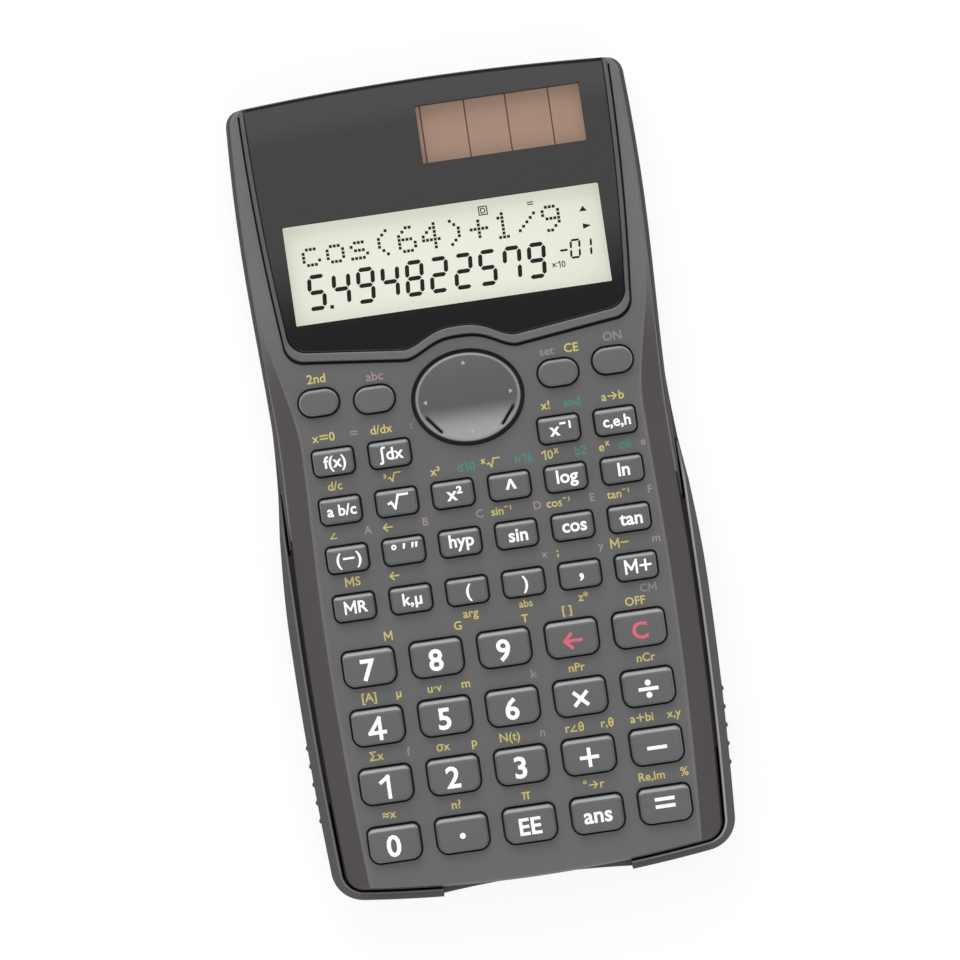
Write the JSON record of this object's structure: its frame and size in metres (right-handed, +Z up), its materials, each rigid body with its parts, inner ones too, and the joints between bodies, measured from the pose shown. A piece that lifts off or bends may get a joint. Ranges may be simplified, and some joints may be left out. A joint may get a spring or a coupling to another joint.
{
  "type": "scientific calculator",
  "caption": "Pocket scientific calculator with a liquid crystal display, solar cells, sprung keys and a rocking arrow pad, lying on a hard cover that slides off its back.",
  "frame": {"origin": "middle of the object's plan, on the surface that its cover lies on", "axes": "+X across the keys to the right, +Y towards the display end, +Z up out of the keys"},
  "size_m": [0.0824, 0.1586, 0.0153],
  "materials": {
    "front_shell": "satin grey",
    "rear_shell": "satin dark grey",
    "cover": "fine-grained dark grey",
    "window": "polished black",
    "lcd": "matt grey-green",
    "solar": "brown cells under glass",
    "board": "green lacquer",
    "rubber": "matt",
    "elastomer": "matt",
    "cell": "bright",
    "contacts": "plated",
    "screws": "plated",
    "pad": "satin silver grey",
    "pivot": "plain",
    "key": "satin dark grey",
    "oval_key": "satin grey"
  },
  "bodies": {
    "calculator": {"front_case": "front_shell", "rear_case": "rear_shell", "display_window": "window", "lcd_glass": "lcd", "solar_panel": "solar", "circuit_board": "board", "rubber_keypad": "rubber", "elastomer_strips": "elastomer", "button_cell": "cell", "battery_contacts": "contacts", "case_screws": "screws"},
    "cover": {"slide_cover": "cover"},
    "pad_gimbal": {"arrow_pivot": "pivot"},
    "pad": {"arrow_pad": "pad"},
    "key_0": {"key_0": "key"},
    "key_1": {"key_1": "key"},
    "key_2": {"key_2": "key"},
    "key_3": {"key_3": "key"},
    "key_4": {"key_4": "key"},
    "key_5": {"key_5": "key"},
    "key_6": {"key_6": "key"},
    "key_7": {"key_7": "key"},
    "key_8": {"key_8": "key"},
    "key_9": {"key_9": "key"},
    "key_all_clear": {"key_all_clear": "key"},
    "key_alpha": {"key_alpha": "oval_key"},
    "key_ans": {"key_ans": "key"},
    "key_calculate": {"key_calculate": "key"},
    "key_close_bracket": {"key_close_bracket": "key"},
    "key_comma": {"key_comma": "key"},
    "key_constant": {"key_constant": "key"},
    "key_cosine": {"key_cosine": "key"},
    "key_degrees": {"key_degrees": "key"},
    "key_delete": {"key_delete": "key"},
    "key_divide": {"key_divide": "key"},
    "key_engineering": {"key_engineering": "key"},
    "key_equals": {"key_equals": "key"},
    "key_exp": {"key_exp": "key"},
    "key_fraction": {"key_fraction": "key"},
    "key_hyperbolic": {"key_hyperbolic": "key"},
    "key_integral": {"key_integral": "key"},
    "key_log": {"key_log": "key"},
    "key_memory": {"key_memory": "key"},
    "key_minus": {"key_minus": "key"},
    "key_mode": {"key_mode": "oval_key"},
    "key_natural_log": {"key_natural_log": "key"},
    "key_negative": {"key_negative": "key"},
    "key_on": {"key_on": "oval_key"},
    "key_open_bracket": {"key_open_bracket": "key"},
    "key_plus": {"key_plus": "key"},
    "key_point": {"key_point": "key"},
    "key_power": {"key_power": "key"},
    "key_recall": {"key_recall": "key"},
    "key_reciprocal": {"key_reciprocal": "key"},
    "key_root": {"key_root": "key"},
    "key_shift": {"key_shift": "oval_key"},
    "key_sine": {"key_sine": "key"},
    "key_square": {"key_square": "key"},
    "key_tangent": {"key_tangent": "key"},
    "key_times": {"key_times": "key"}
  },
  "joints": [
    {"name": "cover_slide", "type": "slide", "parent": "calculator", "child": "cover", "axis": [0, -1, 0], "range_m": [0, 0.165]},
    {"name": "pad_rock_sideways", "type": "hinge", "parent": "calculator", "child": "pad_gimbal", "pos_m": [0, 0.01628, 0.00945], "axis": [0, 1, 0], "range_deg": [-3.5, 3.5], "stiffness_Nm_per_rad": 0.08, "deforming": ["rubber_keypad"]},
    {"name": "pad_rock_lengthways", "type": "hinge", "parent": "pad_gimbal", "child": "pad", "pos_m": [0, 0.01628, 0.00945], "axis": [1, 0, 0], "range_deg": [-3.5, 3.5], "stiffness_Nm_per_rad": 0.08, "deforming": ["rubber_keypad"]},
    {"name": "key_0_press", "type": "slide", "parent": "calculator", "child": "key_0", "axis": [0, 0, -1], "range_m": [0, 0.0011], "stiffness_N_per_m": 500, "deforming": ["rubber_keypad"]},
    {"name": "key_1_press", "type": "slide", "parent": "calculator", "child": "key_1", "axis": [0, 0, -1], "range_m": [0, 0.0011], "stiffness_N_per_m": 500, "deforming": ["rubber_keypad"]},
    {"name": "key_2_press", "type": "slide", "parent": "calculator", "child": "key_2", "axis": [0, 0, -1], "range_m": [0, 0.0011], "stiffness_N_per_m": 500, "deforming": ["rubber_keypad"]},
    {"name": "key_3_press", "type": "slide", "parent": "calculator", "child": "key_3", "axis": [0, 0, -1], "range_m": [0, 0.0011], "stiffness_N_per_m": 500, "deforming": ["rubber_keypad"]},
    {"name": "key_4_press", "type": "slide", "parent": "calculator", "child": "key_4", "axis": [0, 0, -1], "range_m": [0, 0.0011], "stiffness_N_per_m": 500, "deforming": ["rubber_keypad"]},
    {"name": "key_5_press", "type": "slide", "parent": "calculator", "child": "key_5", "axis": [0, 0, -1], "range_m": [0, 0.0011], "stiffness_N_per_m": 500, "deforming": ["rubber_keypad"]},
    {"name": "key_6_press", "type": "slide", "parent": "calculator", "child": "key_6", "axis": [0, 0, -1], "range_m": [0, 0.0011], "stiffness_N_per_m": 500, "deforming": ["rubber_keypad"]},
    {"name": "key_7_press", "type": "slide", "parent": "calculator", "child": "key_7", "axis": [0, 0, -1], "range_m": [0, 0.0011], "stiffness_N_per_m": 500, "deforming": ["rubber_keypad"]},
    {"name": "key_8_press", "type": "slide", "parent": "calculator", "child": "key_8", "axis": [0, 0, -1], "range_m": [0, 0.0011], "stiffness_N_per_m": 500, "deforming": ["rubber_keypad"]},
    {"name": "key_9_press", "type": "slide", "parent": "calculator", "child": "key_9", "axis": [0, 0, -1], "range_m": [0, 0.0011], "stiffness_N_per_m": 500, "deforming": ["rubber_keypad"]},
    {"name": "key_all_clear_press", "type": "slide", "parent": "calculator", "child": "key_all_clear", "axis": [0, 0, -1], "range_m": [0, 0.0011], "stiffness_N_per_m": 500, "deforming": ["rubber_keypad"]},
    {"name": "key_alpha_press", "type": "slide", "parent": "calculator", "child": "key_alpha", "axis": [0, 0, -1], "range_m": [0, 0.0011], "stiffness_N_per_m": 500, "deforming": ["rubber_keypad"]},
    {"name": "key_ans_press", "type": "slide", "parent": "calculator", "child": "key_ans", "axis": [0, 0, -1], "range_m": [0, 0.0011], "stiffness_N_per_m": 500, "deforming": ["rubber_keypad"]},
    {"name": "key_calculate_press", "type": "slide", "parent": "calculator", "child": "key_calculate", "axis": [0, 0, -1], "range_m": [0, 0.0011], "stiffness_N_per_m": 500, "deforming": ["rubber_keypad"]},
    {"name": "key_close_bracket_press", "type": "slide", "parent": "calculator", "child": "key_close_bracket", "axis": [0, 0, -1], "range_m": [0, 0.0011], "stiffness_N_per_m": 500, "deforming": ["rubber_keypad"]},
    {"name": "key_comma_press", "type": "slide", "parent": "calculator", "child": "key_comma", "axis": [0, 0, -1], "range_m": [0, 0.0011], "stiffness_N_per_m": 500, "deforming": ["rubber_keypad"]},
    {"name": "key_constant_press", "type": "slide", "parent": "calculator", "child": "key_constant", "axis": [0, 0, -1], "range_m": [0, 0.0011], "stiffness_N_per_m": 500, "deforming": ["rubber_keypad"]},
    {"name": "key_cosine_press", "type": "slide", "parent": "calculator", "child": "key_cosine", "axis": [0, 0, -1], "range_m": [0, 0.0011], "stiffness_N_per_m": 500, "deforming": ["rubber_keypad"]},
    {"name": "key_degrees_press", "type": "slide", "parent": "calculator", "child": "key_degrees", "axis": [0, 0, -1], "range_m": [0, 0.0011], "stiffness_N_per_m": 500, "deforming": ["rubber_keypad"]},
    {"name": "key_delete_press", "type": "slide", "parent": "calculator", "child": "key_delete", "axis": [0, 0, -1], "range_m": [0, 0.0011], "stiffness_N_per_m": 500, "deforming": ["rubber_keypad"]},
    {"name": "key_divide_press", "type": "slide", "parent": "calculator", "child": "key_divide", "axis": [0, 0, -1], "range_m": [0, 0.0011], "stiffness_N_per_m": 500, "deforming": ["rubber_keypad"]},
    {"name": "key_engineering_press", "type": "slide", "parent": "calculator", "child": "key_engineering", "axis": [0, 0, -1], "range_m": [0, 0.0011], "stiffness_N_per_m": 500, "deforming": ["rubber_keypad"]},
    {"name": "key_equals_press", "type": "slide", "parent": "calculator", "child": "key_equals", "axis": [0, 0, -1], "range_m": [0, 0.0011], "stiffness_N_per_m": 500, "deforming": ["rubber_keypad"]},
    {"name": "key_exp_press", "type": "slide", "parent": "calculator", "child": "key_exp", "axis": [0, 0, -1], "range_m": [0, 0.0011], "stiffness_N_per_m": 500, "deforming": ["rubber_keypad"]},
    {"name": "key_fraction_press", "type": "slide", "parent": "calculator", "child": "key_fraction", "axis": [0, 0, -1], "range_m": [0, 0.0011], "stiffness_N_per_m": 500, "deforming": ["rubber_keypad"]},
    {"name": "key_hyperbolic_press", "type": "slide", "parent": "calculator", "child": "key_hyperbolic", "axis": [0, 0, -1], "range_m": [0, 0.0011], "stiffness_N_per_m": 500, "deforming": ["rubber_keypad"]},
    {"name": "key_integral_press", "type": "slide", "parent": "calculator", "child": "key_integral", "axis": [0, 0, -1], "range_m": [0, 0.0011], "stiffness_N_per_m": 500, "deforming": ["rubber_keypad"]},
    {"name": "key_log_press", "type": "slide", "parent": "calculator", "child": "key_log", "axis": [0, 0, -1], "range_m": [0, 0.0011], "stiffness_N_per_m": 500, "deforming": ["rubber_keypad"]},
    {"name": "key_memory_press", "type": "slide", "parent": "calculator", "child": "key_memory", "axis": [0, 0, -1], "range_m": [0, 0.0011], "stiffness_N_per_m": 500, "deforming": ["rubber_keypad"]},
    {"name": "key_minus_press", "type": "slide", "parent": "calculator", "child": "key_minus", "axis": [0, 0, -1], "range_m": [0, 0.0011], "stiffness_N_per_m": 500, "deforming": ["rubber_keypad"]},
    {"name": "key_mode_press", "type": "slide", "parent": "calculator", "child": "key_mode", "axis": [0, 0, -1], "range_m": [0, 0.0011], "stiffness_N_per_m": 500, "deforming": ["rubber_keypad"]},
    {"name": "key_natural_log_press", "type": "slide", "parent": "calculator", "child": "key_natural_log", "axis": [0, 0, -1], "range_m": [0, 0.0011], "stiffness_N_per_m": 500, "deforming": ["rubber_keypad"]},
    {"name": "key_negative_press", "type": "slide", "parent": "calculator", "child": "key_negative", "axis": [0, 0, -1], "range_m": [0, 0.0011], "stiffness_N_per_m": 500, "deforming": ["rubber_keypad"]},
    {"name": "key_on_press", "type": "slide", "parent": "calculator", "child": "key_on", "axis": [0, 0, -1], "range_m": [0, 0.0011], "stiffness_N_per_m": 500, "deforming": ["rubber_keypad"]},
    {"name": "key_open_bracket_press", "type": "slide", "parent": "calculator", "child": "key_open_bracket", "axis": [0, 0, -1], "range_m": [0, 0.0011], "stiffness_N_per_m": 500, "deforming": ["rubber_keypad"]},
    {"name": "key_plus_press", "type": "slide", "parent": "calculator", "child": "key_plus", "axis": [0, 0, -1], "range_m": [0, 0.0011], "stiffness_N_per_m": 500, "deforming": ["rubber_keypad"]},
    {"name": "key_point_press", "type": "slide", "parent": "calculator", "child": "key_point", "axis": [0, 0, -1], "range_m": [0, 0.0011], "stiffness_N_per_m": 500, "deforming": ["rubber_keypad"]},
    {"name": "key_power_press", "type": "slide", "parent": "calculator", "child": "key_power", "axis": [0, 0, -1], "range_m": [0, 0.0011], "stiffness_N_per_m": 500, "deforming": ["rubber_keypad"]},
    {"name": "key_recall_press", "type": "slide", "parent": "calculator", "child": "key_recall", "axis": [0, 0, -1], "range_m": [0, 0.0011], "stiffness_N_per_m": 500, "deforming": ["rubber_keypad"]},
    {"name": "key_reciprocal_press", "type": "slide", "parent": "calculator", "child": "key_reciprocal", "axis": [0, 0, -1], "range_m": [0, 0.0011], "stiffness_N_per_m": 500, "deforming": ["rubber_keypad"]},
    {"name": "key_root_press", "type": "slide", "parent": "calculator", "child": "key_root", "axis": [0, 0, -1], "range_m": [0, 0.0011], "stiffness_N_per_m": 500, "deforming": ["rubber_keypad"]},
    {"name": "key_shift_press", "type": "slide", "parent": "calculator", "child": "key_shift", "axis": [0, 0, -1], "range_m": [0, 0.0011], "stiffness_N_per_m": 500, "deforming": ["rubber_keypad"]},
    {"name": "key_sine_press", "type": "slide", "parent": "calculator", "child": "key_sine", "axis": [0, 0, -1], "range_m": [0, 0.0011], "stiffness_N_per_m": 500, "deforming": ["rubber_keypad"]},
    {"name": "key_square_press", "type": "slide", "parent": "calculator", "child": "key_square", "axis": [0, 0, -1], "range_m": [0, 0.0011], "stiffness_N_per_m": 500, "deforming": ["rubber_keypad"]},
    {"name": "key_tangent_press", "type": "slide", "parent": "calculator", "child": "key_tangent", "axis": [0, 0, -1], "range_m": [0, 0.0011], "stiffness_N_per_m": 500, "deforming": ["rubber_keypad"]},
    {"name": "key_times_press", "type": "slide", "parent": "calculator", "child": "key_times", "axis": [0, 0, -1], "range_m": [0, 0.0011], "stiffness_N_per_m": 500, "deforming": ["rubber_keypad"]}
  ]
}
